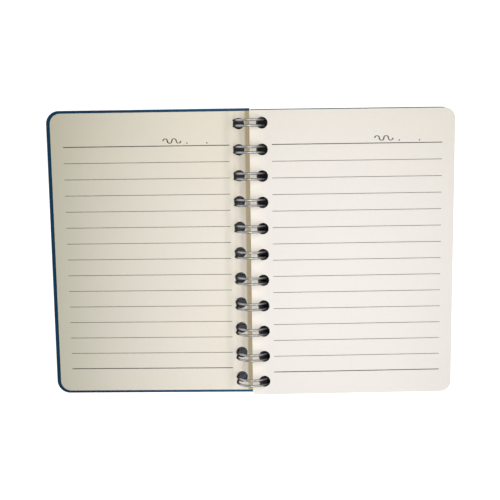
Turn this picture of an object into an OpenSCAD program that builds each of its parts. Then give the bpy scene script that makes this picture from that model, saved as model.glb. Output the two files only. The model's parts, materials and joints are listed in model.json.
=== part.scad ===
// A pocket notebook on a twin-loop wire, lying open near its first leaves.
// X runs across both pages, Y up the spine and Z up. The origin is on the table, under the
// middle of the wire. Each side is drawn flat in a frame of its own, with the ring axis at
// its origin, and then tipped until the fore edge of its cover meets the table.

/* [Leaves] */
// Width of a leaf from its spine edge to its fore edge
page_w = 98.7; // [90:0.1:120]
// Height of a leaf
page_h = 139.8; // [120:0.1:200]
// Thickness of one leaf
leaf_t = 0.1; // [0.08:0.01:0.12]
// Number of leaves turned to the left
left_leaves = 5; // [3:1:12]
// Number of leaves still on the right
right_leaves = 95; // [70:1:110]
// Radius of the two outer corners of a leaf
page_corner_r = 5; // [3:0.5:8]
// How far the left leaves reach past the ring axis
left_past = 0.25; // [0.1:0.05:0.3]
// How far the topmost right leaf reaches past the ring axis
right_past = 0.3; // [0.1:0.05:0.4]
// How far the lowest right leaf stays back from the ring axis
right_set_back = 1.1; // [1:0.05:1.3]
// Number of bundles of leaves by which the right block leans
bundles = 8; // [5:1:10]

/* [Covers] */
// Thickness of a cover board
cover_t = 1; // [0.8:0.1:1.5]
// How far a cover stands out past the leaves at the head and the tail
overhang = 1.4; // [1:0.1:3]
// How far a cover stands out past the left leaves at the fore edge
fore_overhang = 2; // [1.5:0.1:3]
// How much lower the head of the back cover lies than the head of the front cover
back_trim = 0.7; // [0:0.1:1.2]
// Distance from the ring axis to the spine edge of a cover
cover_set_back = 0.3; // [0.3:0.05:0.5]

/* [Punched holes] */
// Diameter of a punched hole
hole_d = 5.6; // [5.4:0.1:6.2]
// Strip of paper between a hole and the spine edge
land = 3.1; // [2.8:0.1:3.6]
// Least distance from the head or the tail of a leaf to a hole centre
end_margin = 6; // [5:0.5:8]
// How far the row of holes sits above the middle of a leaf
hole_shift = 0.4; // [0:0.1:1]

/* [Wire] */
// Diameter of the wire
wire_d = 1.1; // [0.8:0.05:1.2]
// Distance from one loop to the next
pitch = 12.7; // [11:0.1:14]
// Distance between the two wires of a loop
prong = 2.7; // [2.2:0.1:2.8]
// Angle about the ring axis at which the loops spring from the spine of the wire
root_angle = 303; // [300:1:304]
// Angle from the ends of the rings, where the closed tips begin, to the next roots
seam_angle = 31.6; // [28.6:1:31.6]

/* [Ruling] */
// Distance from one ruled line to the next
rule_pitch = 8; // [6:0.5:10]
// Distance from the head of a leaf to the first line
head_margin = 16.4; // [14:0.1:20]
// Least distance from the last line to the tail of a leaf
tail_margin = 10.5; // [8:0.5:16]
// Distance from the spine edge of a leaf to the lines
inner_margin = 10.6; // [10:0.1:14]
// Distance from the lines to the fore edge of a leaf
outer_margin = 6.1; // [4:0.1:10]
// Width of a ruled line
rule_w = 0.25; // [0.2:0.05:0.4]
// Width of the first and the last line
border_w = 0.4; // [0.3:0.05:0.6]
// Thickness of the ink
ink_t = 0.03; // [0.02:0.01:0.05]
// Distance from the left end of the first line to the ornament above it
mark_x = 49.4; // [40:0.1:55]
// Height of the middle of the ornament over the first line
mark_rise = 2.4; // [2:0.1:4]
// Radius of one half wave of the ornament
wave_r = 1.1; // [0.8:0.1:1.4]
// Number of half waves in the ornament
waves = 4; // [2:1:6]
// Distance from the left end of the first line to the first dot
dot_x = 61.2; // [60:0.1:64]
// Distance from the first dot to the second
dot_step = 9.8; // [4:0.1:12]
// Diameter of a dot
dot_d = 0.6; // [0.4:0.1:1]

/* [Clearances] */
// Gap between the wire and the rim of a hole
wire_clear = 0.12; // [0.1:0.01:0.14]
// Film of air between a cover and its leaves
cover_gap = 0.03; // [0.02:0.01:0.05]
// Gap between the two blocks of leaves when the book is shut
block_gap = 0.15; // [0.12:0.01:0.2]

/* [Hidden] */
$fn = 64;

// Depths are measured in a side's own frame, down from the ring axis
left_t = left_leaves * leaf_t;
right_t = right_leaves * leaf_t;
closed_t = 2 * cover_t + 2 * cover_gap + left_t + right_t + block_gap;
cover_depth = closed_t / 2;
block_depth = cover_depth - cover_t - cover_gap;
bundle_t = right_t / bundles;

// Distance from a spine edge to the hole centres
hole_in = land + hole_d / 2;
// The tight spot is a quarter of a wire outside the middle of a prong
tight_y = prong / 2 + wire_d / 4;
tight_wire = sqrt(pow(wire_d / 2, 2) - pow(wire_d / 4, 2));
tight_hole = sqrt(pow(hole_d / 2, 2) - pow(tight_y, 2));

// The ring goes round the rim of a cover's hole at the outer face of the cover
rim = cover_set_back + hole_in - tight_hole;
ring_r = norm([cover_depth, rim]) + tight_wire + wire_clear;
ring_z = ring_r + wire_d / 2;
loops = floor((page_h - 2 * end_margin) / pitch) + 1;
loop_y = [for (i = [0 : loops - 1]) (i - (loops - 1) / 2) * pitch + hole_shift];
bend_r = prong / 2;

// The covers reach this far from the ring axis, and droop until they touch the table
fore_edge = page_w - left_past + fore_overhang;
cover_w = fore_edge - cover_set_back;
cover_h = page_h + 2 * overhang;
cover_corner_r = page_corner_r + overhang;
droop = asin(ring_z / norm([fore_edge, cover_depth])) - atan2(cover_depth, fore_edge);

// The lines
rule_l = page_w - inner_margin - outer_margin;
rules = floor((page_h - head_margin - tail_margin) / rule_pitch) + 1;
first_rule = page_h / 2 - head_margin;

// Distance from the ring axis to the spine edge of bundle i, counted from the lowest. The block
// leans, and the wire pushes a bundle out where its holes would come too near it.
function bundle_lean(i) = right_set_back - (right_set_back + right_past) * i / (bundles - 1);
function bundle_depth(i) = block_depth - i * bundle_t;
function nearest(a, b) = a * b < 0 ? 0 : min(abs(a), abs(b));
function wire_push(depth) =
    sqrt(pow(ring_r + tight_wire, 2) - pow(depth, 2)) + wire_clear - tight_hole - hole_in;
function bundle_edge(i) =
    max(bundle_lean(i), wire_push(nearest(bundle_depth(i), bundle_depth(i + 1))));

// Outline of a sheet whose spine edge is at X = edge, with its two outer corners rounded
module outline(edge, w, h, r) {
    translate([edge, -h / 2]) square([w - r, h]);
    translate([edge, -h / 2 + r]) square([w, h - 2 * r]);
    for (side = [-1, 1])
        translate([edge + w - r, side * (h / 2 - r)]) circle(r);
}

// Sheets of thickness t whose underside is at the given depth, punched for the wire and cut
// shorter at their head by trim
module punched(edge, w, h, r, t, depth, trim = 0) {
    translate([0, 0, -depth])
        linear_extrude(t)
            difference() {
                translate([0, -trim / 2]) outline(edge, w, h - trim, r);
                for (y = loop_y)
                    translate([edge + hole_in, y]) circle(d = hole_d);
            }
}

module right_side() {
    translate([0, 0, ring_z]) rotate([0, droop, 0]) children();
}

module left_side() {
    mirror([1, 0, 0]) right_side() children();
}

// A cover board, shorter at its head by trim
module cover(trim) {
    color([0.1, 0.29, 0.47])
        punched(cover_set_back, cover_w, cover_h, cover_corner_r, cover_t, cover_depth, trim);
}

module front_cover() {
    left_side() cover(0);
}

module back_cover() {
    right_side() cover(back_trim);
}

module left_pages() {
    color([0.93, 0.9, 0.84])
        left_side()
            punched(-left_past, page_w, page_h, page_corner_r, left_t, block_depth);
}

module right_pages() {
    color([0.95, 0.93, 0.88])
        right_side()
            for (i = [0 : bundles - 1])
                punched(bundle_edge(i), page_w, page_h, page_corner_r, bundle_t, bundle_depth(i));
}

// One half wave, open downwards when up is 1 and upwards when it is -1
module half_wave(up) {
    intersection() {
        difference() {
            circle(wave_r + rule_w / 2);
            circle(wave_r - rule_w / 2);
        }
        translate([-2 * wave_r, up > 0 ? 0 : -2 * wave_r]) square([4 * wave_r, 2 * wave_r]);
    }
}

// The wave and the two dots over the first line, drawn rightwards from the origin
module heading() {
    for (i = [0 : waves - 1])
        translate([mark_x + (2 * i + 1) * wave_r, mark_rise]) half_wave(i % 2 == 0 ? 1 : -1);
    for (i = [0, 1])
        translate([dot_x + i * dot_step, mark_rise - wave_r]) circle(d = dot_d);
}

// The print of one page. Its lines start at X = start, and the heading reads from the origin
// of the line rightwards in the drawing, so the left page, which is mirrored, turns it round.
module page_print(start, turned) {
    linear_extrude(ink_t) {
        for (i = [0 : rules - 1]) {
            w = i == 0 || i == rules - 1 ? border_w : rule_w;
            translate([start, first_rule - i * rule_pitch - w / 2]) square([rule_l, w]);
        }
        translate([turned ? start + rule_l : start, first_rule])
            mirror([turned ? 1 : 0, 0])
                heading();
    }
}

module left_print() {
    color([0.45, 0.42, 0.38])
        left_side()
            translate([0, 0, left_t - block_depth])
                page_print(inner_margin - left_past, true);
}

module right_print() {
    color([0.45, 0.42, 0.38])
        right_side()
            translate([0, 0, right_t - block_depth])
                page_print(bundle_edge(bundles - 1) + inner_margin, false);
}

// A length of wire bent round an axis along Z
module bent_wire(bend, from, sweep) {
    rotate_extrude(angle = sweep, start = from)
        translate([bend, 0]) circle(d = wire_d);
}

// Moves its children to the ring at the given angle past the roots of the loops: X is outwards
// and Z runs on round the ring
module at_ring(angle, y) {
    translate([0, y, 0]) rotate([0, -angle, 0]) translate([ring_r, 0, 0]) children();
}

// The ring part of one wire of a loop, from its root round to its tip
module prong_ring(y) {
    translate([0, y, 0]) rotate([90, 0, 0]) bent_wire(ring_r, 0, 360 - seam_angle);
}

// The closed tip that joins the two wires of a loop
module loop_tip(y) {
    at_ring(-seam_angle, y) rotate([0, 90, 0]) bent_wire(bend_r, 90, 180);
}

// The bend by which a wire leaves its loop, towards the tail (-1) or the head (1)
module root_bend(y, way) {
    at_ring(0, y + way * prong)
        rotate([0, 90, 0])
            bent_wire(bend_r, way > 0 ? 270 : 0, 90);
}

// The straight wire from one loop to the next
module spine_link(y) {
    at_ring(0, y + prong)
        translate([0, 0, -bend_r])
            rotate([-90, 0, 0])
                cylinder(d = wire_d, h = pitch - 2 * prong);
}

// One loop, with the wire that leads on to the next one
module loop(i) {
    y = loop_y[i];
    for (side = [-1, 1])
        prong_ring(y + side * bend_r);
    loop_tip(y);
    if (i > 0)
        root_bend(y, -1);
    if (i < loops - 1) {
        root_bend(y, 1);
        spine_link(y);
    }
}

module binding_wire() {
    color([0.72, 0.72, 0.74])
        translate([0, 0, ring_z])
            rotate([0, -root_angle, 0])
                for (i = [0 : loops - 1])
                    loop(i);
}

front_cover();
left_pages();
left_print();
back_cover();
right_pages();
right_print();
binding_wire();
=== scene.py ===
import json
import math

import bmesh
import bpy
import numpy as np
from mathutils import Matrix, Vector
from mathutils.geometry import delaunay_2d_cdt


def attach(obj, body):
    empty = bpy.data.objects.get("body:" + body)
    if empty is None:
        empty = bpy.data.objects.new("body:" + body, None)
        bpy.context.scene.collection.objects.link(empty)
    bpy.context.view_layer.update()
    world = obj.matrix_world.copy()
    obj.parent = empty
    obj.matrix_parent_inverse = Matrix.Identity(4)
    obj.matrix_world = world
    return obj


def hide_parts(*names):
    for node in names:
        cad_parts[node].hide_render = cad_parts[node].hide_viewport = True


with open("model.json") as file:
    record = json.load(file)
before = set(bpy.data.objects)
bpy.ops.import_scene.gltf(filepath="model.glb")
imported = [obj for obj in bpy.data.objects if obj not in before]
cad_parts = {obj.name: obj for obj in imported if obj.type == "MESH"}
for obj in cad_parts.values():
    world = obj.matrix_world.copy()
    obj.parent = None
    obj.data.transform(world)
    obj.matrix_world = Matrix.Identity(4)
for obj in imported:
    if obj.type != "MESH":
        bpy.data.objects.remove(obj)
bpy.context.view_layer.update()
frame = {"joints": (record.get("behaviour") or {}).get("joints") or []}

MM = 0.001

# Sizes of the notebook, in millimetres unless a name says otherwise
LEAF_W = 98.7
LEAF_H = 139.8
LEAF_CORNER_R = 5.0
LEAF_PITCH = 0.1
LEAF_T = 0.088
LEFT_LEAVES = 5
RIGHT_LEAVES = 95
LEFT_PAST = 0.25
RIGHT_PAST = 0.3
RIGHT_SET_BACK = 1.1
COVER_T = 1.0
OVERHANG = 1.4
FORE_OVERHANG = 2.0
COVER_SET_BACK = 0.3
BACK_TRIM = 0.5          # 0.7 in the solids; with 0.5 a hairline of blue shows as in the photograph
COVER_GAP = 0.03
BLOCK_GAP = 0.15
HOLE_D = 5.6
LAND = 3.1
HOLE_SHIFT = 0.4
LOOPS = 11
PITCH = 12.7
WIRE_D = 1.1
PRONG = 2.7
WIRE_CLEAR = 0.12
ROOT_ANGLE = 303.0
SEAM_ANGLE = 31.6

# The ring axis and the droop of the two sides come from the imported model
HINGES = {joint["name"]: joint for joint in frame["joints"]}
RING_Z = HINGES["front_cover_hinge"]["pos_m"][2] / MM
DROOP = math.radians((HINGES["front_cover_hinge"]["range_deg"][1] - 180) / 2)

LEFT_T = LEFT_LEAVES * LEAF_PITCH
RIGHT_T = RIGHT_LEAVES * LEAF_PITCH
COVER_DEPTH = (2 * COVER_T + 2 * COVER_GAP + LEFT_T + RIGHT_T + BLOCK_GAP) / 2
BLOCK_DEPTH = COVER_DEPTH - COVER_T - COVER_GAP
PAGE_TOP = LEAF_T - LEAF_PITCH
HOLE_IN = LAND + HOLE_D / 2
LOOP_Y = [(i - (LOOPS - 1) / 2) * PITCH + HOLE_SHIFT for i in range(LOOPS)]
RING_R = RING_Z - WIRE_D / 2
TIGHT_WIRE = math.sqrt((WIRE_D / 2) ** 2 - (WIRE_D / 4) ** 2)
TIGHT_HOLE = math.sqrt((HOLE_D / 2) ** 2 - (PRONG / 2 + WIRE_D / 4) ** 2)
BOARD_W = LEAF_W - LEFT_PAST + FORE_OVERHANG - COVER_SET_BACK
BOARD_H = LEAF_H + 2 * OVERHANG
BOARD_R = LEAF_CORNER_R + OVERHANG

# Disorder of the leaves and the waves of an open page, in millimetres
JITTER = 0.06
LEAN_SOFTNESS = 0.05
RIGHT_WAVE = 0.14
RIGHT_SPINE_DIP = 0.16
SPINE_DIP_START = 0.5
SPINE_DIP_FADE = 9.0
RIGHT_FORE_DIP = 0.10
FORE_DIP_START = 70.0
FORE_DIP_L = 28.0
LEFT_DIP = 0.03
LEFT_WAVE = 0.05

# Sizes of the print
RULES = 15
RULE_PITCH = 8.0
HEAD_MARGIN = 16.4
INNER_MARGIN = 10.6
RULE_L = 82.0
RULE_W = 0.27
BORDER_W = 0.4
BORDER_DEPTH = 0.7
INK_T = 0.02
MARK_X = 49.4
MARK_RISE = 2.4
WAVE_R = 1.1
WAVES = 4
WAVE_W = 0.3
WAVE_SWELL = 0.36
WAVE_STEEP = 2.2
DOT_X = 61.2
DOT_STEP = 9.8
DOT_D = 0.6

# Fineness of the meshes, in millimetres between points or as the number of points on a curve
LEAF_STEP = 10.0
LEAF_GRID_INSET = 4.0
LEAF_GRID_CLEAR = 1.0
LEAF_CORNER_STEPS = 8
LEAF_HOLE_SIDES = 20
BOARD_STEP = 2.5
BOARD_GRID = 6.0
BOARD_GRID_INSET = 2.0
BOARD_GRID_CLEAR = 1.2
BOARD_CORNER_STEPS = 14
BOARD_HOLE_SIDES = 28
RULE_POINTS = 42
WAVE_POINTS = 11
RING_POINTS = 61
ROOT_POINTS = 7
TIP_POINTS = 13
WIRE_SIDES = 14

# Edges of the boards, in millimetres: their rounding and the width that is rubbed
BOARD_SOFT = 0.12
BOARD_RIM = 0.9
BOARD_HOLE_RIM = 0.7

# How near a point counts as one of a hole, as inside a hole and as the same point, in millimetres
HOLE_EDGE = 0.1
HOLE_SLACK = 0.05
MERGE_DISTANCE = 1e-5

# Looks in general. NOISE_SPAN holds most values of a noise
NOISE_SPAN = (0.3, 0.7)
SCUFF_FINE = 0.35
SCUFF_REACH = 0.4
SCUFF_SPAN = (0.72, 0.9)

# Looks of both papers. Spans are in metres out from the spine or up the page
# painted shade: the paper darkens towards its fore edge over this span, by this power
FORE_SHADE_SPAN = (0.018, 0.097)
FORE_SHADE_POWER = 2.8
HEAD_SPAN = (0.02, 0.068)
# painted shadow: span of the brown strip along the spine
GUTTER_SHADOW_SPAN = (0.0022, 0.0029)
# painted light: a paler cream near the spine, lifting the shade cast there by the block and the
# wire
SPINE_PAINTED_LIGHT = (1.0, 0.94, 0.84, 1)
HEAD_CREAM = (1.0, 0.995, 0.95, 1)
# tone of the painted shadow on the spine strip
GUTTER_SHADOW_BROWN = (0.5, 0.385, 0.17, 1)
CUT_SHADE = 0.72
# painted shade round the holes, on the cut edges and on the leaves below the top one
HOLE_SHADE_TONE = (0.07, 0.062, 0.055, 1)
HOLE_SHADE_SHARE = 0.9
PAPER_ROUGHNESS = (0.72, 0.92)
PAPER_SPECULAR = 0.25

# Looks of the board and of the ink
# painted shade: the board darkens out towards its fore edge over this span
BOARD_SHADE_SPAN = (0.005, 0.08)
BOARD_ROUGHNESS = (0.42, 0.6)
BOARD_SPECULAR = 0.13
INK_TOOTH = 0.4
INK_GAP_SPAN = (0.35, 0.68)
INK_GAPS = 0.36
INK_GAPS_FILLED = 0.3
INK_ROUGHNESS = (0.6, 0.85)
INK_SPECULAR = 0.3

# Looks of the wire. Spans are in metres up from the table or out from the spine
WIRE_MARKS_ALONG = 350.0
WIRE_MARKS_ROUND = (5200.0, 5200.0, 0.0)
WIRE_DULL_SPAN = (0.45, 0.75)
# painted shade: the wire darkens low down over this span of height and at its sides over this span
# across
WIRE_LOW_SPAN = (0.0155, 0.0135)
WIRE_LOW_SHADE = 0.8
WIRE_SIDE_SPAN = (0.0036, 0.0058)
WIRE_SIDE_SHADE = 0.9
# painted highlight where the wire dips into the left holes; there only this share of its painted
# shade stays
WIRE_LIT_FROM = (-0.0074, -0.0064)
WIRE_LIT_TO = (-0.0045, -0.003)
WIRE_LIT_SHADE_SHARE = 0.2
# painted shade on the wire's outline, where it is seen edge on
WIRE_OUTLINE_SPAN = (0.16, 0.6)
WIRE_OUTLINE_SHARE = 0.75
WIRE_BRIGHT = (0.3, 0.296, 0.288, 1)
WIRE_DULL = (0.21, 0.207, 0.203, 1)
# tone of the painted highlight
WIRE_LIT = (0.45, 0.45, 0.46, 1)
# tone of the painted shade on the wire
WIRE_SHADE_TONE = (0.11, 0.11, 0.115, 1)
WIRE_OUTLINE = (0.06, 0.06, 0.065, 1)
WIRE_TINT = (0.3, 0.3, 0.3, 1)
WIRE_ROUGHNESS = (0.26, 0.42)

# Floor, in metres: the strip of painted shade under the punched holes, its tones and the glow
# around it
STRIP_HALF_W = 0.009
STRIP_HALF_L = 0.0675
STRIP_EDGE = (-0.0003, 0.0006)
STRIP_SLANT = (0.05, 0.16)
STRIP_MIDDLE = (-0.002, 0.002)
STRIP_HEAD_TO_FOOT = (0.05, -0.06)
SHADE_STRIP_LEFT_HEAD = (0.1, 0.105, 0.115, 1)
SHADE_STRIP_LEFT_FOOT = (0.26, 0.27, 0.3, 1)
SHADE_STRIP_RIGHT = (0.13, 0.125, 0.125, 1)
FLOOR_WHITE = (0.88, 0.88, 0.88, 1)
FLOOR_HALF = 4.0
FLOOR_DROP = 0.00005
GLOW = 0.8
FAR_GLOW = 0.7
FAR_SPAN = (0.1, 0.6)

# World and lamps: each lamp looks straight down from its place, in metres
FILL_COLOR = (1.0, 0.985, 0.95, 1)
FILL_STRENGTH = 0.305
LAMP_COLOR = (1.0, 0.995, 0.985)
LAMP_W = 0.04
LAMP_L = 0.34
LAMPS = (("key", (0.102, -0.015, 0.18), 0.212), ("top", (-0.011, -0.022, 0.17), 0.19))

# Camera, fitted to the photograph: place in millimetres, turn in degrees, lens for a 36 mm sensor
CAMERA_PLACE = (0.79, 51.38, 398.91)
CAMERA_TURN = (-7.181, 0.131, -0.791)
CAMERA_LENS = 57.6
SENSOR_W = 36.0
NEAREST = 0.01           # metres
FARTHEST = 20.0


# Nodes

def link(tree, source, target):
    tree.links.new(source, target)


def maths(tree, operation, a, b=None, c=None, clamp=False):
    node = tree.nodes.new("ShaderNodeMath")
    node.operation = operation
    node.use_clamp = clamp
    for socket, value in zip(node.inputs, (a, b, c)):
        if value is None:
            continue
        if isinstance(value, (int, float)):
            socket.default_value = value
        else:
            link(tree, value, socket)
    return node.outputs[0]


def vector_maths(tree, operation, a, b):
    """SCALE takes a number or a value as b, and any other operation a vector."""
    node = tree.nodes.new("ShaderNodeVectorMath")
    node.operation = operation
    link(tree, a, node.inputs[0])
    target = node.inputs["Scale"] if operation == "SCALE" else node.inputs[1]
    if isinstance(b, float):
        target.default_value = b
    else:
        link(tree, b, target)
    return node.outputs[0]


def combined(tree, **parts):
    node = tree.nodes.new("ShaderNodeCombineXYZ")
    for axis, value in parts.items():
        link(tree, value, node.inputs[axis])
    return node.outputs[0]


def separated(tree, vector):
    node = tree.nodes.new("ShaderNodeSeparateXYZ")
    link(tree, vector, node.inputs[0])
    return node.outputs


def remap(tree, value, low, high, to_low=0.0, to_high=1.0):
    node = tree.nodes.new("ShaderNodeMapRange")
    link(tree, value, node.inputs["Value"])
    for socket, number in zip(("From Min", "From Max", "To Min", "To Max"),
                              (low, high, to_low, to_high)):
        if isinstance(number, (int, float)):
            node.inputs[socket].default_value = number
        else:
            link(tree, number, node.inputs[socket])
    return node.outputs["Result"]


def blended(tree, a, b, share):
    """A mixture of two values: the share of b, and a for the rest."""
    return maths(tree, "ADD", maths(tree, "MULTIPLY", a, 1 - share),
                 maths(tree, "MULTIPLY", b, share))


def mixed(tree, factor, a, b, blend="MIX"):
    node = tree.nodes.new("ShaderNodeMix")
    node.data_type = "RGBA"
    node.blend_type = blend
    colors = {s.name: s for s in node.inputs if s.type == "RGBA"}
    for socket, value in ((node.inputs["Factor"], factor), (colors["A"], a), (colors["B"], b)):
        if isinstance(value, tuple):
            socket.default_value = value
        else:
            link(tree, value, socket)
    return next(s for s in node.outputs if s.type == "RGBA")


def noise(tree, vector, scale, detail=2.0, roughness=0.5):
    node = tree.nodes.new("ShaderNodeTexNoise")
    node.inputs["Scale"].default_value = scale
    node.inputs["Detail"].default_value = detail
    node.inputs["Roughness"].default_value = roughness
    link(tree, vector, node.inputs["Vector"])
    return node.outputs["Fac"]


def stretched(tree, vector, scale):
    node = tree.nodes.new("ShaderNodeMapping")
    node.inputs["Scale"].default_value = scale
    link(tree, vector, node.inputs["Vector"])
    return node.outputs["Vector"]


def attribute(tree, name, output="Fac"):
    node = tree.nodes.new("ShaderNodeAttribute")
    node.attribute_name = name
    return node.outputs[output]


def facing(tree):
    """0 where a surface is seen square on, growing to 1 at its outline."""
    node = tree.nodes.new("ShaderNodeLayerWeight")
    node.inputs["Blend"].default_value = 0.5
    return node.outputs["Facing"]


def background_rays(tree):
    """1 for the rays that show the background: those of the camera, of metal and of glass."""
    rays = tree.nodes.new("ShaderNodeLightPath").outputs
    mirrored = maths(tree, "ADD", rays["Is Glossy Ray"], rays["Is Transmission Ray"])
    return maths(tree, "ADD", rays["Is Camera Ray"], mirrored, clamp=True)


def new_group(kind, name, inputs, outputs):
    """An empty node group with named sockets, as (group, its input sockets, its output sockets)."""
    group = bpy.data.node_groups.new(name, kind)
    for socket, sort, value in inputs:
        item = group.interface.new_socket(socket, in_out="INPUT", socket_type="NodeSocket" + sort)
        if value is not None:
            item.default_value = value
    for socket, sort in outputs:
        group.interface.new_socket(socket, in_out="OUTPUT", socket_type="NodeSocket" + sort)
    source = group.nodes.new("NodeGroupInput")
    sink = group.nodes.new("NodeGroupOutput")
    return group, source.outputs, sink.inputs


# Shader node groups

def make_fibre_group():
    """Paper and board: a cloudy tone, short fibres lying every way and a fine tooth."""
    group, source, sink = new_group(
        "ShaderNodeTree", "sheet_fibre",
        [("Vector", "Vector", None), ("Color", "Color", (0.8, 0.8, 0.8, 1)),
         ("Cloud", "Float", 0.04), ("Fibre", "Float", 0.05), ("Scale", "Float", 1.0)],
        [("Color", "Color"), ("Height", "Float"), ("Roughness", "Float")])
    place = vector_maths(group, "SCALE", source["Vector"], source["Scale"])
    cloud = noise(group, place, scale=38.0, detail=3.0, roughness=0.55)
    along = noise(group, stretched(group, place, (1400.0, 260.0, 900.0)), scale=1.0)
    across = noise(group, stretched(group, place, (240.0, 1500.0, 900.0)), scale=1.0)
    fibre = maths(group, "MULTIPLY", maths(group, "ADD", along, across), 0.5)
    cloud_shift = maths(group, "MULTIPLY", maths(group, "SUBTRACT", cloud, 0.5), source["Cloud"])
    fibre_shift = maths(group, "MULTIPLY", maths(group, "SUBTRACT", fibre, 0.5), source["Fibre"])
    gain = maths(group, "ADD", maths(group, "ADD", cloud_shift, fibre_shift), 1.0)
    link(group, vector_maths(group, "SCALE", source["Color"], gain), sink["Color"])
    link(group, fibre, sink["Height"])
    link(group, remap(group, fibre, *NOISE_SPAN, *PAPER_ROUGHNESS), sink["Roughness"])
    return group


def make_scuff_group():
    """Wear: a mask that is 1 where an edge or a rubbed patch has lost its colour."""
    group, source, sink = new_group(
        "ShaderNodeTree", "scuff",
        [("Vector", "Vector", None), ("Rim", "Float", 0.0), ("Amount", "Float", 0.5)],
        [("Mask", "Float")])
    broad = noise(group, source["Vector"], scale=90.0, detail=4.0, roughness=0.6)
    fine = noise(group, source["Vector"], scale=900.0, detail=3.0, roughness=0.6)
    reach = maths(group, "MULTIPLY", source["Rim"], source["Amount"])
    level = maths(group, "ADD", blended(group, broad, fine, SCUFF_FINE),
                  maths(group, "MULTIPLY", reach, SCUFF_REACH))
    link(group, remap(group, level, *SCUFF_SPAN), sink["Mask"])
    return group


FIBRE = make_fibre_group()
SCUFF = make_scuff_group()


# Materials

def new_material(name):
    """A new material as (material, its tree, its shader, the socket with object coordinates)."""
    material = bpy.data.materials.new(name)
    material.use_nodes = True
    tree = material.node_tree
    shader = tree.nodes["Principled BSDF"]
    place = tree.nodes.new("ShaderNodeTexCoord").outputs["Object"]
    return material, tree, shader, place


def add_bump(tree, shader, height, strength, distance):
    bump = tree.nodes.new("ShaderNodeBump")
    bump.inputs["Strength"].default_value = strength
    bump.inputs["Distance"].default_value = distance
    link(tree, height, bump.inputs["Height"])
    link(tree, bump.outputs["Normal"], shader.inputs["Normal"])


def group_node(tree, group, values):
    """A node for a shader group. A value is a socket to link or a constant to set."""
    node = tree.nodes.new("ShaderNodeGroup")
    node.node_tree = group
    for name, value in values.items():
        if isinstance(value, (float, tuple)):
            node.inputs[name].default_value = value
        else:
            link(tree, value, node.inputs[name])
    return node.outputs


def make_paper(name, face, fore_shade, cut, spine_light, spine_light_span, gutter_shadow):
    """Uncoated paper that goes from the tone face to another tone at its fore edge, a painted
    shade.
    Near the spine it is lightened by painted light, and on the spine strip browned by a painted
    shadow, each by a given share. The cut edges differ from leaf to leaf. Round the holes, the cut
    edges and the leaves below the top one are darkened by painted shade."""
    material, tree, shader, place = new_material(name)
    axes = separated(tree, place)
    inner = maths(tree, "ABSOLUTE", axes["X"])
    # painted shade, darker towards the fore edge
    fore = maths(tree, "POWER", remap(tree, inner, *FORE_SHADE_SPAN), FORE_SHADE_POWER)
    tone = mixed(tree, fore, face, fore_shade)
    # painted light near the spine
    tone = mixed(tree, remap(tree, inner, *spine_light_span, spine_light, 0.0), tone, SPINE_PAINTED_LIGHT)
    tone = mixed(tree, remap(tree, axes["Y"], *HEAD_SPAN), tone, HEAD_CREAM, "MULTIPLY")
    # painted shadow of the right block on the spine strip, browned
    tone = mixed(tree, remap(tree, inner, *GUTTER_SHADOW_SPAN, gutter_shadow, 0.0), tone, GUTTER_SHADOW_BROWN)
    dark_cut = tuple(c * CUT_SHADE for c in cut[:3]) + (1,)
    cut_edge = attribute(tree, "cut_edge")
    tone = mixed(tree, cut_edge, tone, mixed(tree, attribute(tree, "leaf_tone"), dark_cut, cut))
    # painted shade round the holes
    hidden = maths(tree, "MAXIMUM", cut_edge, attribute(tree, "buried"))
    hole_shade = maths(tree, "MULTIPLY", attribute(tree, "by_hole"), hidden)
    tone = mixed(tree, maths(tree, "MULTIPLY", hole_shade, HOLE_SHADE_SHARE), tone, HOLE_SHADE_TONE)
    fibre = group_node(tree, FIBRE, {"Vector": place, "Color": tone, "Cloud": 0.035,
                                     "Fibre": 0.07, "Scale": 1.0})
    link(tree, fibre["Color"], shader.inputs["Base Color"])
    link(tree, fibre["Roughness"], shader.inputs["Roughness"])
    shader.inputs["Specular IOR Level"].default_value = PAPER_SPECULAR
    add_bump(tree, shader, fibre["Height"], strength=0.25, distance=0.00004)
    return material


def make_cover_board(name, spine, fore, wear_and_shade):
    """Board with a fine embossed grain, of the tone spine that goes over to fore at its fore edge,
    a painted shade that darkens it there, and is rubbed lighter along its rim."""
    material, tree, shader, place = new_material(name)
    # painted shade, darker towards the fore edge
    out = remap(tree, maths(tree, "ABSOLUTE", separated(tree, place)["X"]), *BOARD_SHADE_SPAN)
    fibre = group_node(tree, FIBRE, {"Vector": place, "Color": mixed(tree, out, spine, fore),
                                     "Cloud": 0.3, "Fibre": 0.4, "Scale": 0.8})
    scuff = group_node(tree, SCUFF, {"Vector": place, "Rim": attribute(tree, "rim"),
                                     "Amount": 0.5})
    link(tree, mixed(tree, scuff["Mask"], fibre["Color"], wear_and_shade), shader.inputs["Base Color"])
    rough = remap(tree, fibre["Height"], *NOISE_SPAN, *BOARD_ROUGHNESS)
    link(tree, rough, shader.inputs["Roughness"])
    shader.inputs["Specular IOR Level"].default_value = BOARD_SPECULAR
    add_bump(tree, shader, fibre["Height"], strength=0.35, distance=0.00006)
    return material


def make_ink(name, ink, deep, paper):
    """Print that lies a little unevenly on the paper, deeper where the attribute deep says so."""
    material, tree, shader, place = new_material(name)
    patchy = noise(tree, place, scale=420.0, detail=3.0, roughness=0.65)
    tooth = noise(tree, place, scale=3200.0, detail=2.0, roughness=0.6)
    strength = attribute(tree, "deep")
    most = maths(tree, "SUBTRACT", INK_GAPS, maths(tree, "MULTIPLY", strength, INK_GAPS_FILLED))
    gaps = remap(tree, blended(tree, patchy, tooth, INK_TOOTH), *INK_GAP_SPAN, 0.0, most)
    tone = mixed(tree, gaps, mixed(tree, strength, ink, deep), paper)
    link(tree, tone, shader.inputs["Base Color"])
    link(tree, remap(tree, tooth, *NOISE_SPAN, *INK_ROUGHNESS), shader.inputs["Roughness"])
    shader.inputs["Specular IOR Level"].default_value = INK_SPECULAR
    return material


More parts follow.
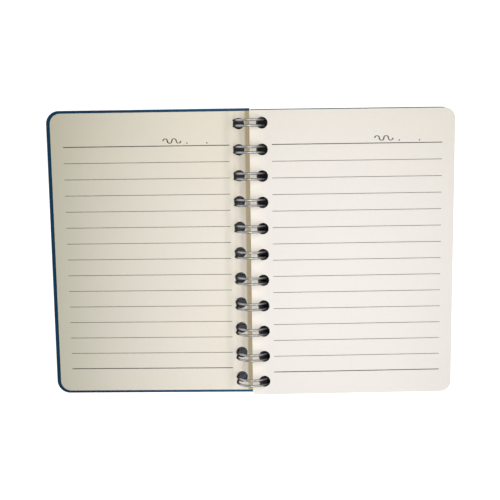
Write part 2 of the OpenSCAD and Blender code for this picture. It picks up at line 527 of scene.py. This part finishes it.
def make_wire_metal(name):
    """Nickel-coloured drawn wire, with faint marks along its length and a few dull spots. It has
    painted shade low down, at its sides and on its outline, and a painted highlight where it dips
    into the left holes, where little of that painted shade is kept."""
    material, tree, shader, place = new_material(name)
    along = maths(tree, "MULTIPLY", attribute(tree, "along"), WIRE_MARKS_ALONG)
    around = stretched(tree, attribute(tree, "around", "Vector"), WIRE_MARKS_ROUND)
    drawn = noise(tree, vector_maths(tree, "ADD", around, combined(tree, Z=along)), scale=1.0)
    dull = noise(tree, place, scale=260.0, detail=3.0, roughness=0.6)
    tone = mixed(tree, remap(tree, dull, *WIRE_DULL_SPAN), WIRE_BRIGHT, WIRE_DULL)
    axes = separated(tree, place)
    # painted highlight where the wire dips into the left holes
    lit = maths(tree, "MULTIPLY", remap(tree, axes["X"], *WIRE_LIT_FROM),
                remap(tree, axes["X"], *WIRE_LIT_TO, 1.0, 0.0))
    tone = mixed(tree, lit, tone, WIRE_LIT)
    unlit = remap(tree, lit, 0.0, 1.0, 1.0, WIRE_LIT_SHADE_SHARE)
    # painted shade low down and at the sides, with a ragged edge from the dull spots
    ragged = maths(tree, "ADD", axes["Z"], maths(tree, "MULTIPLY", dull, MM))
    low_down = remap(tree, ragged, *WIRE_LOW_SPAN, 0.0, WIRE_LOW_SHADE)
    out = maths(tree, "ABSOLUTE", axes["X"])
    off_side = remap(tree, out, *WIRE_SIDE_SPAN, 0.0, WIRE_SIDE_SHADE)
    wear_and_shade = maths(tree, "MULTIPLY", maths(tree, "MAXIMUM", low_down, off_side), unlit)
    tone = mixed(tree, wear_and_shade, tone, WIRE_SHADE_TONE)
    # painted shade on the outline
    outline = remap(tree, facing(tree), *WIRE_OUTLINE_SPAN, 0.0, WIRE_OUTLINE_SHARE)
    outline = maths(tree, "MULTIPLY", outline, unlit)
    link(tree, mixed(tree, outline, tone, WIRE_OUTLINE), shader.inputs["Base Color"])
    rough = remap(tree, blended(tree, drawn, dull, 0.5), *NOISE_SPAN, *WIRE_ROUGHNESS)
    link(tree, rough, shader.inputs["Roughness"])
    shader.inputs["Specular Tint"].default_value = WIRE_TINT
    shader.inputs["Metallic"].default_value = 1.0
    add_bump(tree, shader, drawn, strength=0.12, distance=0.00003)
    return material


PAPER_LEFT = make_paper(
    "left_leaf_paper", face=(0.875, 0.83, 0.74, 1), fore_shade=(0.735, 0.712, 0.58, 1),
    cut=(0.74, 0.68, 0.57, 1), spine_light=0.95, spine_light_span=(0.006, 0.011), gutter_shadow=0.7)
PAPER_RIGHT = make_paper(
    "right_leaf_paper", face=(0.828, 0.792, 0.766, 1), fore_shade=(0.828, 0.792, 0.755, 1),
    cut=(0.77, 0.72, 0.63, 1), spine_light=0.6, spine_light_span=(0.002, 0.008), gutter_shadow=0.0)
BOARD = make_cover_board(
    "cover_blue_board", spine=(0.018, 0.082, 0.17, 1), fore=(0.004, 0.043, 0.1, 1),
    wear_and_shade=(0.11, 0.24, 0.36, 1))
INK = make_ink("rule_ink", ink=(0.06, 0.045, 0.028, 1), deep=(0.02, 0.016, 0.012, 1),
               paper=(0.46, 0.4, 0.3, 1))
WIRE_METAL = make_wire_metal("nickel_wire")

# Shapes of the two sides, drawn flat: u runs out from the ring axis, y up the spine and h up

def on_side(side, points):
    """Takes points (u, y, h) in millimetres to the notebook's own frame, in metres. side is -1 on
    the left and 1 on the right."""
    points = np.asarray(points, float)
    u, y, h = points[:, 0], points[:, 1], points[:, 2]
    x = side * (u * math.cos(DROOP) + h * math.sin(DROOP))
    z = RING_Z - u * math.sin(DROOP) + h * math.cos(DROOP)
    return np.stack([x, y, z], 1) * MM


def settle(side, u, y):
    """How far the open page lies below the flat top of its block: leaves are never quite flat.
    The lengths of the waves are given in millimetres for one radian."""
    waves = 0.5 + 0.25 * np.sin(y / 21.0 + u / 34.0 + side) + 0.25 * np.sin(u / 17.0 - y / 47.0)
    if side < 0:
        return LEFT_DIP + LEFT_WAVE * waves
    spine = np.exp(-np.maximum(u - SPINE_DIP_START, 0) / SPINE_DIP_FADE)
    fore = np.clip((u - FORE_DIP_START) / FORE_DIP_L, 0, 1) ** 2 * (0.5 + 0.5 * np.cos(y / 24.0))
    return RIGHT_SPINE_DIP * spine + RIGHT_WAVE * waves + RIGHT_FORE_DIP * fore


def arc(cx, cy, r, start, end, steps):
    return [(cx + r * math.cos(a), cy + r * math.sin(a))
            for a in np.linspace(math.radians(start), math.radians(end), steps + 1)]


def sheet_outline(w, h, r, steps, inset=0.0, trim=0.0):
    """The outline of a sheet from its spine edge at u = 0, with two rounded outer corners. It is
    set in by inset and shorter at its head by trim."""
    top = h / 2 - trim
    low_r = r - inset
    return ([(inset, inset - h / 2)] + arc(w - r, r - h / 2, low_r, -90, 0, steps)
            + arc(w - r, top - r, low_r, 0, 90, steps) + [(inset, top - inset)])


def hole_ring(y, sides, grow=0.0):
    r = HOLE_D / 2 + grow
    return [(HOLE_IN + r * math.cos(a), y + r * math.sin(a))
            for a in (2 * math.pi * (k + 0.5) / sides for k in range(sides))]


def in_hole(u, y, grow):
    """Whether a point lies inside one of the holes, each grown by grow."""
    return any(math.hypot(u - HOLE_IN, y - hole_y) < HOLE_D / 2 + grow for hole_y in LOOP_Y)


def past_corner(u, y, w, h, r, inset, trim):
    """Whether a point lies outside the rounding of the corner next to it."""
    out = u - (w - r)
    up = abs(y) - (h / 2 - r - (trim if y > 0 else 0.0))
    return out > 0 and up > 0 and math.hypot(out, up) > r - inset


def inner_grid(w, h, step, inset, clear, trim=0.0):
    """Points inside a sheet, some way from its edges and its holes."""
    us = np.arange(inset, w - inset / 2, step)
    ys = np.arange(inset - h / 2, h / 2 - trim - inset / 2, step)
    return [(u, y) for u in us for y in ys if not in_hole(u, y, clear)]


def densify(loop, step, like):
    """Adds points along the straight stretches of a loop, as many as the loop like would get."""
    out = []
    for i, (ax, ay) in enumerate(loop):
        bx, by = loop[(i + 1) % len(loop)]
        count = max(1, round(math.dist(like[i], like[(i + 1) % len(like)]) / step))
        out += [(ax + (bx - ax) * k / count, ay + (by - ay) * k / count) for k in range(count)]
    return out


def fill_sheet(points, loop_sizes, w, h, r, inset=0.0, trim=0.0):
    """The triangles of a sheet, as numbers of points. The points begin with those of the closed
    loops that bound it, whose lengths are loop_sizes. Holes and corners stay open."""
    edges = []
    first = 0
    for size in loop_sizes:
        edges += [(first + k, first + (k + 1) % size) for k in range(size)]
        first += size
    result = delaunay_2d_cdt([Vector(p) for p in points], edges, [], 0, MERGE_DISTANCE)
    triangles = []
    for face in result[2]:
        triangle = tuple(result[3][v][0] for v in face)
        u = sum(points[v][0] for v in triangle) / 3
        y = sum(points[v][1] for v in triangle) / 3
        if not in_hole(u, y, -HOLE_SLACK) and not past_corner(u, y, w, h, r, inset, trim):
            triangles.append(triangle)
    return triangles


# Objects

def mesh_from(build, name):
    mesh = bpy.data.meshes.new(name)
    build.to_mesh(mesh)
    build.free()
    return mesh


def new_object(name, data):
    piece = bpy.data.objects.new(name, data)
    bpy.context.scene.collection.objects.link(piece)
    return piece


def run_tree(piece, tree, values):
    """Runs a tree on a piece with the given inputs and leaves a plain mesh."""
    modifier = piece.modifiers.new(tree.name, "NODES")
    modifier.node_group = tree
    for item in tree.interface.items_tree:
        if item.item_type == "SOCKET" and item.in_out == "INPUT" and item.name in values:
            modifier[item.identifier] = values[item.name]
    bpy.context.view_layer.update()
    evaluated = piece.evaluated_get(bpy.context.evaluated_depsgraph_get())
    mesh = bpy.data.meshes.new_from_object(evaluated)
    piece.modifiers.remove(modifier)
    if piece.type == "CURVE":
        name = piece.name
        bpy.data.objects.remove(piece)
        return new_object(name, mesh)
    piece.data = mesh
    return piece


# Geometry Nodes

def store(tree, geometry, name, value, domain="POINT", kind="FLOAT"):
    """Stores a value on the geometry as a named attribute, and returns the geometry."""
    node = tree.nodes.new("GeometryNodeStoreNamedAttribute")
    node.data_type = kind
    node.domain = domain
    node.inputs["Name"].default_value = name
    link(tree, geometry, node.inputs["Geometry"])
    link(tree, value, node.inputs["Value"])
    return node.outputs["Geometry"]


def end_tree(tree, geometry, material, target):
    """Ends a tree with plain geometry of one material."""
    real = tree.nodes.new("GeometryNodeRealizeInstances")
    link(tree, geometry, real.inputs["Geometry"])
    paint = tree.nodes.new("GeometryNodeSetMaterial")
    link(tree, real.outputs["Geometry"], paint.inputs["Geometry"])
    link(tree, material, paint.inputs["Material"])
    link(tree, paint.outputs["Geometry"], target)


def make_stack_tree():
    """Piles copies of a leaf on each other. The pile leans, follows the ring in its middle and
    has each leaf a hair out of line."""
    tree, source, sink = new_group(
        "GeometryNodeTree", "leaf_stack",
        [("Geometry", "Geometry", None), ("Leaves", "Int", 10), ("Leaf Pitch", "Float", 0.1),
         ("Base Depth", "Float", 5.0), ("Low Edge", "Float", 1.1), ("High Edge", "Float", -0.3),
         ("Ring Radius", "Float", 8.0), ("Ring Offset", "Float", -8.0),
         ("Jitter", "Float", 0.03), ("Seed", "Int", 1), ("Material", "Material", None)],
        [("Geometry", "Geometry")])
    line = tree.nodes.new("GeometryNodeMeshLine")
    line.mode = "OFFSET"
    link(tree, source["Leaves"], line.inputs["Count"])
    link(tree, combined(tree, Z=source["Leaf Pitch"]), line.inputs["Offset"])

    index = tree.nodes.new("GeometryNodeInputIndex").outputs[0]
    last = maths(tree, "MAXIMUM", maths(tree, "SUBTRACT", source["Leaves"], 1.0), 1.0)
    share = maths(tree, "DIVIDE", index, last)
    lean = remap(tree, share, 0.0, 1.0, source["Low Edge"], source["High Edge"])
    depth = maths(tree, "SUBTRACT", source["Base Depth"],
                  maths(tree, "MULTIPLY", index, source["Leaf Pitch"]))
    radius = maths(tree, "MULTIPLY", source["Ring Radius"], source["Ring Radius"])
    chord = maths(tree, "SQRT", maths(tree, "SUBTRACT", radius,
                                      maths(tree, "MULTIPLY", depth, depth)))
    pushed = maths(tree, "ADD", chord, source["Ring Offset"])
    edge = maths(tree, "SMOOTH_MAX", lean, pushed, LEAN_SOFTNESS)

    jitter = tree.nodes.new("FunctionNodeRandomValue")
    jitter.data_type = "FLOAT_VECTOR"
    spread = combined(tree, X=source["Jitter"], Y=source["Jitter"])
    link(tree, vector_maths(tree, "SCALE", spread, -1.0), jitter.inputs["Min"])
    link(tree, spread, jitter.inputs["Max"])
    link(tree, source["Seed"], jitter.inputs["Seed"])
    place = tree.nodes.new("GeometryNodeSetPosition")
    link(tree, line.outputs["Mesh"], place.inputs["Geometry"])
    link(tree, vector_maths(tree, "ADD", combined(tree, X=edge), jitter.outputs[0]),
         place.inputs["Offset"])
    copies = tree.nodes.new("GeometryNodeInstanceOnPoints")
    link(tree, place.outputs["Geometry"], copies.inputs["Points"])
    link(tree, source["Geometry"], copies.inputs["Instance"])

    tone = tree.nodes.new("FunctionNodeRandomValue")
    tone.data_type = "FLOAT"
    link(tree, source["Seed"], tone.inputs["Seed"])
    leaf_tone = next(s for s in tone.outputs if s.type == "VALUE" and s.enabled)
    leaves = store(tree, copies.outputs["Instances"], "leaf_tone", leaf_tone, "INSTANCE")
    # marks the leaves below the top one, which the paper darkens round the holes as painted shade
    buried = maths(tree, "MULTIPLY", maths(tree, "GREATER_THAN", index, 0.5),
                   maths(tree, "LESS_THAN", share, 0.999))
    leaves = store(tree, leaves, "buried", buried, "INSTANCE")
    end_tree(tree, leaves, source["Material"], sink["Geometry"])
    return tree


def make_wire_tree():
    """Sweeps a round wire along the curve that it is given and marks each point with its place
    along and round the wire."""
    tree, source, sink = new_group(
        "GeometryNodeTree", "wire_sweep",
        [("Geometry", "Geometry", None), ("Wire Radius", "Float", 0.5), ("Sides", "Int", 12),
         ("Material", "Material", None)],
        [("Geometry", "Geometry")])
    circle = tree.nodes.new("GeometryNodeCurvePrimitiveCircle")
    link(tree, source["Sides"], circle.inputs["Resolution"])
    link(tree, source["Wire Radius"], circle.inputs["Radius"])
    length = tree.nodes.new("GeometryNodeSplineParameter").outputs["Length"]
    around = tree.nodes.new("GeometryNodeInputPosition").outputs["Position"]
    sweep = tree.nodes.new("GeometryNodeCurveToMesh")
    sweep.inputs["Fill Caps"].default_value = True
    link(tree, store(tree, source["Geometry"], "along", length), sweep.inputs["Curve"])
    link(tree, store(tree, circle.outputs["Curve"], "around", around, kind="FLOAT_VECTOR"),
         sweep.inputs["Profile Curve"])
    smooth = tree.nodes.new("GeometryNodeSetShadeSmooth")
    link(tree, sweep.outputs["Mesh"], smooth.inputs["Geometry"])
    end_tree(tree, smooth.outputs["Geometry"], source["Material"], sink["Geometry"])
    return tree


# Leaves

def solid_leaf(name):
    """One flat punched leaf, with the attribute cut_edge on its sides and by_hole on the points of
    its holes."""
    outline = sheet_outline(LEAF_W, LEAF_H, LEAF_CORNER_R, LEAF_CORNER_STEPS)
    loops = [densify(outline, LEAF_STEP, outline)]
    loops += [hole_ring(y, LEAF_HOLE_SIDES) for y in LOOP_Y]
    points = [p for loop in loops for p in loop]
    points += inner_grid(LEAF_W, LEAF_H, LEAF_STEP, LEAF_GRID_INSET, LEAF_GRID_CLEAR)
    triangles = fill_sheet(points, [len(loop) for loop in loops], LEAF_W, LEAF_H, LEAF_CORNER_R)
    build = bmesh.new()
    by_hole = build.verts.layers.float.new("by_hole")
    cut_edge = build.faces.layers.float.new("cut_edge")
    low = [build.verts.new((u, y, 0)) for u, y in points]
    high = [build.verts.new((u, y, LEAF_T)) for u, y in points]
    for vert in low + high:
        if in_hole(vert.co.x, vert.co.y, HOLE_EDGE):
            vert[by_hole] = 1.0
    edges = []
    for triangle in triangles:
        build.faces.new([high[v] for v in triangle])
        build.faces.new([low[v] for v in reversed(triangle)])
        edges += zip(triangle, triangle[1:] + triangle[:1])
    shared = set(edges)
    for a, b in edges:
        if (b, a) not in shared:
            build.faces.new((low[a], low[b], high[b], high[a]))[cut_edge] = 1.0
    return mesh_from(build, name)


def dress_side(piece, side, total_t):
    """Settles a flat pile of leaves, takes it to its side of the notebook and, on the left,
    turns its faces outwards again after the mirror."""
    mesh = piece.data
    places = np.zeros(len(mesh.vertices) * 3)
    mesh.vertices.foreach_get("co", places)
    places = places.reshape(-1, 3)
    share = np.clip(places[:, 2] / total_t, 0, 1)
    places[:, 2] -= settle(side, places[:, 0], places[:, 1]) * share
    places[:, 2] -= BLOCK_DEPTH
    mesh.vertices.foreach_set("co", on_side(side, places).astype(np.float32).ravel())
    if side < 0:
        mesh.flip_normals()
    mesh.update()


def build_leaves(name, side, leaves, low_edge, high_edge, material, seed, node, body):
    piece = run_tree(new_object(name, solid_leaf(name)), STACK, {
        "Leaves": leaves, "Leaf Pitch": LEAF_PITCH, "Base Depth": BLOCK_DEPTH,
        "Low Edge": low_edge, "High Edge": high_edge, "Ring Radius": RING_R + TIGHT_WIRE,
        "Ring Offset": WIRE_CLEAR - TIGHT_HOLE - HOLE_IN, "Jitter": JITTER, "Seed": seed,
        "Material": material})
    dress_side(piece, side, leaves * LEAF_PITCH)
    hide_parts(node)
    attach(piece, body)


STACK = make_stack_tree()
build_leaves("right_leaves", 1, RIGHT_LEAVES, RIGHT_SET_BACK, -RIGHT_PAST, PAPER_RIGHT, 7,
             "right_pages", "right_pages")
build_leaves("left_leaves", -1, LEFT_LEAVES, -LEFT_PAST, -LEFT_PAST, PAPER_LEFT, 11,
             "left_pages", "left_pages")


# Print

def ribbon(build, side, top, path, width, strength=0.0):
    """A printed line along path, a list of (u, y), lying on the settled page. Its width is one
    number or one for each point."""
    deep = build.faces.layers.float.get("deep") or build.faces.layers.float.new("deep")
    path = np.asarray(path, float)
    ahead = np.gradient(path, axis=0)
    ahead /= np.linalg.norm(ahead, axis=1)[:, None]
    across = np.stack([-ahead[:, 1], ahead[:, 0]], 1) * np.reshape(width, (-1, 1)) / 2
    rows = []
    for shift in (-across, across):
        flat = path + shift
        rest = top - settle(side, flat[:, 0], flat[:, 1])
        for lift in (0.0, INK_T):
            rows.append(on_side(side, np.column_stack([flat, rest + lift])))
    low_a, high_a, low_b, high_b = [[build.verts.new(p) for p in row] for row in rows]
    ring = (low_a, low_b, high_b, high_a)
    faces = [build.faces.new([row[0] for row in ring]),
             build.faces.new([row[-1] for row in reversed(ring)])]
    for k in range(len(path) - 1):
        for p, q in zip(ring, ring[1:] + ring[:1]):
            faces.append(build.faces.new((p[k], p[k + 1], q[k + 1], q[k])))
    for face in faces:
        face[deep] = strength


def wave_path(u, y):
    """The ornament: half waves in turn above and below its middle line."""
    path = []
    for i in range(WAVES):
        middle = u + (2 * i + 1) * WAVE_R
        turn = 1 if i % 2 == 0 else -1
        for a in np.linspace(math.pi, 0, WAVE_POINTS)[(1 if i else 0):]:
            path.append((middle + WAVE_R * math.cos(a), y + turn * WAVE_R * math.sin(a)))
    return path


def build_print(name, side, edge, top, node, body):
    build = bmesh.new()
    start = edge + INNER_MARGIN
    first = LEAF_H / 2 - HEAD_MARGIN
    for i in range(RULES):
        outermost = i in (0, RULES - 1)
        line = [(u, first - i * RULE_PITCH) for u in np.linspace(start, start + RULE_L,
                                                                 RULE_POINTS)]
        ribbon(build, side, top, line, BORDER_W if outermost else RULE_W,
               BORDER_DEPTH if outermost else 0.0)

    def reading(u):
        """The distance from the left end of a line, as a distance from the ring axis."""
        return start + u if side > 0 else start + RULE_L - u

    wave = [(reading(u), y) for u, y in wave_path(MARK_X, first + MARK_RISE)]
    steep = np.clip(np.abs(np.gradient(np.asarray(wave)[:, 1])) * WAVE_STEEP, 0, 1)
    ribbon(build, side, top, wave, WAVE_W + WAVE_SWELL * steep, 1.0)
    for k in range(2):
        middle = reading(DOT_X + k * DOT_STEP)
        y = first + MARK_RISE - WAVE_R
        ribbon(build, side, top, [(middle + s * DOT_D / 2, y) for s in (-1, 0, 1)], DOT_D)
    bmesh.ops.recalc_face_normals(build, faces=build.faces)
    mesh = mesh_from(build, name)
    mesh.materials.append(INK)
    piece = new_object(name, mesh)
    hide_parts(node)
    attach(piece, body)


build_print("right_rules", 1, -RIGHT_PAST, RIGHT_T - BLOCK_DEPTH + PAGE_TOP,
            "right_print", "right_pages")
build_print("left_rules", -1, -LEFT_PAST, LEFT_T - BLOCK_DEPTH + PAGE_TOP,
            "left_print", "left_pages")


# Covers

def board_loop(trim, inset):
    """The outline of a board set in by inset, with the points of the whole outline."""
    whole = sheet_outline(BOARD_W, BOARD_H, BOARD_R, BOARD_CORNER_STEPS, trim=trim)
    inner = sheet_outline(BOARD_W, BOARD_H, BOARD_R, BOARD_CORNER_STEPS, inset, trim)
    return densify(inner, BOARD_STEP, whole)


def board_level(build, trim, inset, height):
    """The points of a board at one height, as one loop round it and one in each hole."""
    loops = [board_loop(trim, inset)] + [hole_ring(y, BOARD_HOLE_SIDES, inset) for y in LOOP_Y]
    return [[build.verts.new((u, y, height)) for u, y in loop] for loop in loops]


def join_levels(build, low, high):
    for number, (a, b) in enumerate(zip(low, high)):
        for k in range(len(a)):
            face = (a[k], a[(k + 1) % len(a)], b[(k + 1) % len(a)], b[k])
            build.faces.new(face if number == 0 else face[::-1])


def close_level(build, level, trim, up):
    """Fills one flat side of a board. Points without the attribute rim begin a little way in."""
    border = [vert for loop in level for vert in loop]
    unworn = board_loop(trim, BOARD_RIM)
    for y in LOOP_Y:
        unworn += hole_ring(y, BOARD_HOLE_SIDES, BOARD_HOLE_RIM)
    margin = BOARD_GRID_INSET / 2
    corner_u = BOARD_W - BOARD_R - margin
    corner_y = BOARD_H / 2 - trim - BOARD_R - margin
    grid = inner_grid(BOARD_W, BOARD_H, BOARD_GRID, BOARD_GRID_INSET, BOARD_GRID_CLEAR, trim)
    grid = [(u, y) for u, y in grid if u < corner_u or abs(y) < corner_y]
    verts = border + [build.verts.new((u, y, border[0].co.z)) for u, y in unworn + grid]
    triangles = fill_sheet([vert.co.xy for vert in verts], [len(loop) for loop in level],
                           BOARD_W, BOARD_H, BOARD_R, BOARD_SOFT, trim)
    for triangle in triangles:
        corners = [verts[v] for v in triangle]
        build.faces.new(corners if up else corners[::-1])


def build_cover(name, side, trim, node, body):
    """A board with a small rounding on every edge and the attribute rim along them."""
    build = bmesh.new()
    rim = build.verts.layers.float.new("rim")
    levels = [board_level(build, trim, inset, height) for inset, height in (
        (BOARD_SOFT, 0.0), (0.0, BOARD_SOFT), (0.0, COVER_T - BOARD_SOFT), (BOARD_SOFT, COVER_T))]
    for vert in build.verts:
        vert[rim] = 1.0
    for low, high in zip(levels, levels[1:]):
        join_levels(build, low, high)
    close_level(build, levels[0], trim, False)
    close_level(build, levels[-1], trim, True)
    for vert in build.verts:
        u, y, height = vert.co
        vert.co = on_side(side, [(u + COVER_SET_BACK, y, height - COVER_DEPTH)])[0]
    bmesh.ops.recalc_face_normals(build, faces=build.faces)
    mesh = mesh_from(build, name)
    mesh.materials.append(BOARD)
    piece = new_object(name, mesh)
    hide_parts(node)
    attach(piece, body)


build_cover("front_cover_board", -1, 0.0, "front_cover", "front_cover")
build_cover("back_cover_board", 1, BACK_TRIM, "back_cover", "back_cover")


# Wire

def wire_path():
    """The middle line of the one wire: up each loop, round its tip, down again and on."""
    bend = PRONG / 2

    def at(angle, y, on=0.0):
        """A point of the rings by its angle past the roots, moved straight on by on."""
        a = math.radians(ROOT_ANGLE + angle)
        return (RING_R * math.cos(a) - on * math.sin(a), y,
                RING_Z + RING_R * math.sin(a) + on * math.cos(a))

    up = np.linspace(0, 360 - SEAM_ANGLE, RING_POINTS)
    root = np.radians(np.linspace(0, 90, ROOT_POINTS))
    tip = np.radians(np.linspace(0, 180, TIP_POINTS))
    path = []
    for i, y in enumerate(LOOP_Y):
        if i > 0:
            path += [at(0, y - PRONG + bend * math.sin(a), -bend * math.cos(a)) for a in root]
        path += [at(angle, y - bend) for angle in (up[1:] if i > 0 else up)]
        path += [at(-SEAM_ANGLE, y - bend * math.cos(a), bend * math.sin(a)) for a in tip[1:]]
        path += [at(angle, y + bend) for angle in up[::-1][1:]]
        if i < LOOPS - 1:
            path += [at(0, y + PRONG - bend * math.sin(a), -bend * math.cos(a))
                     for a in root[::-1][1:]]
    return [tuple(c * MM for c in p) for p in path]


def build_wire():
    points = wire_path()
    curve = bpy.data.curves.new("binding_loops", "CURVE")
    curve.dimensions = "3D"
    spline = curve.splines.new("POLY")
    spline.points.add(len(points) - 1)
    for point, place in zip(spline.points, points):
        point.co = (*place, 1.0)
    piece = run_tree(new_object("binding_loops", curve), make_wire_tree(), {
        "Wire Radius": WIRE_D / 2 * MM, "Sides": WIRE_SIDES, "Material": WIRE_METAL})
    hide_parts("binding_wire")
    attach(piece, "binding")


build_wire()


# Stage, light and camera

def make_floor():
    """A plain white floor that keeps the shadow and grows into the white of the background. Looked
    at from straight above it has a strip of painted shade under the punched holes, standing in for
    the shade at the bottom of the deep holes."""
    material, tree, shader, place = new_material("floor_white")
    shader.inputs["Roughness"].default_value = 1.0
    shader.inputs["Specular IOR Level"].default_value = 0.0
    axes = separated(tree, place)
    beside = maths(tree, "SUBTRACT", maths(tree, "ABSOLUTE", axes["X"]), STRIP_HALF_W)
    beyond = maths(tree, "SUBTRACT", maths(tree, "ABSOLUTE", axes["Y"]), STRIP_HALF_L)
    away = maths(tree, "MAXIMUM", beside, beyond)
    open_floor = maths(tree, "MAXIMUM", remap(tree, facing(tree), *STRIP_SLANT),
                       remap(tree, away, *STRIP_EDGE))
    # painted shade: darker at the head on the left, dark on the right
    footwards = remap(tree, axes["Y"], *STRIP_HEAD_TO_FOOT)
    tone = mixed(tree, footwards, SHADE_STRIP_LEFT_HEAD, SHADE_STRIP_LEFT_FOOT)
    tone = mixed(tree, remap(tree, axes["X"], *STRIP_MIDDLE), tone, SHADE_STRIP_RIGHT)
    link(tree, mixed(tree, open_floor, tone, FLOOR_WHITE), shader.inputs["Base Color"])
    near = maths(tree, "MULTIPLY", open_floor, GLOW)
    far = remap(tree, away, *FAR_SPAN, 0.0, FAR_GLOW)
    glow = tree.nodes.new("ShaderNodeEmission")
    link(tree, maths(tree, "MULTIPLY", maths(tree, "ADD", near, far), background_rays(tree)),
         glow.inputs["Strength"])
    both = tree.nodes.new("ShaderNodeAddShader")
    link(tree, shader.outputs["BSDF"], both.inputs[0])
    link(tree, glow.outputs["Emission"], both.inputs[1])
    link(tree, both.outputs["Shader"], tree.nodes["Material Output"].inputs["Surface"])
    mesh = bpy.data.meshes.new("floor")
    half = FLOOR_HALF
    mesh.from_pydata([(-half, -half, 0), (half, -half, 0), (half, half, 0), (-half, half, 0)], [],
                     [(0, 1, 2, 3)])
    mesh.materials.append(material)
    floor = new_object("floor", mesh)
    floor.location.z = -FLOOR_DROP


def make_world():
    """A white background, and a weaker, warmer light from all round."""
    world = bpy.data.worlds.new("studio")
    bpy.context.scene.world = world
    world.use_nodes = True
    tree = world.node_tree
    fill = tree.nodes["Background"]
    fill.inputs["Color"].default_value = FILL_COLOR
    fill.inputs["Strength"].default_value = FILL_STRENGTH
    white = tree.nodes.new("ShaderNodeBackground")
    white.inputs["Color"].default_value = (1, 1, 1, 1)
    white.inputs["Strength"].default_value = 1.0
    choose = tree.nodes.new("ShaderNodeMixShader")
    link(tree, background_rays(tree), choose.inputs["Fac"])
    link(tree, fill.outputs["Background"], choose.inputs[1])
    link(tree, white.outputs["Background"], choose.inputs[2])
    link(tree, choose.outputs["Shader"], tree.nodes["World Output"].inputs["Surface"])


def make_lamp(name, place, power):
    """A long soft lamp that looks straight down."""
    lamp = bpy.data.lights.new(name, "AREA")
    lamp.shape = "RECTANGLE"
    lamp.size = LAMP_W
    lamp.size_y = LAMP_L
    lamp.energy = power
    lamp.color = LAMP_COLOR
    obj = new_object(name, lamp)
    obj.location = place
    obj.visible_camera = False


def make_camera():
    """The photograph's view: from above the head of the pages, tipped back towards their foot."""
    data = bpy.data.cameras.new("camera")
    data.sensor_width = SENSOR_W
    data.lens = CAMERA_LENS
    data.clip_start = NEAREST
    data.clip_end = FARTHEST
    camera = new_object("camera", data)
    camera.rotation_euler = [math.radians(a) for a in CAMERA_TURN]
    camera.location = [c * MM for c in CAMERA_PLACE]
    bpy.context.scene.camera = camera


make_floor()
make_world()
for lamp_name, lamp_place, lamp_power in LAMPS:
    make_lamp(lamp_name, lamp_place, lamp_power)
make_camera()
bpy.context.scene.view_settings.view_transform = "Standard"
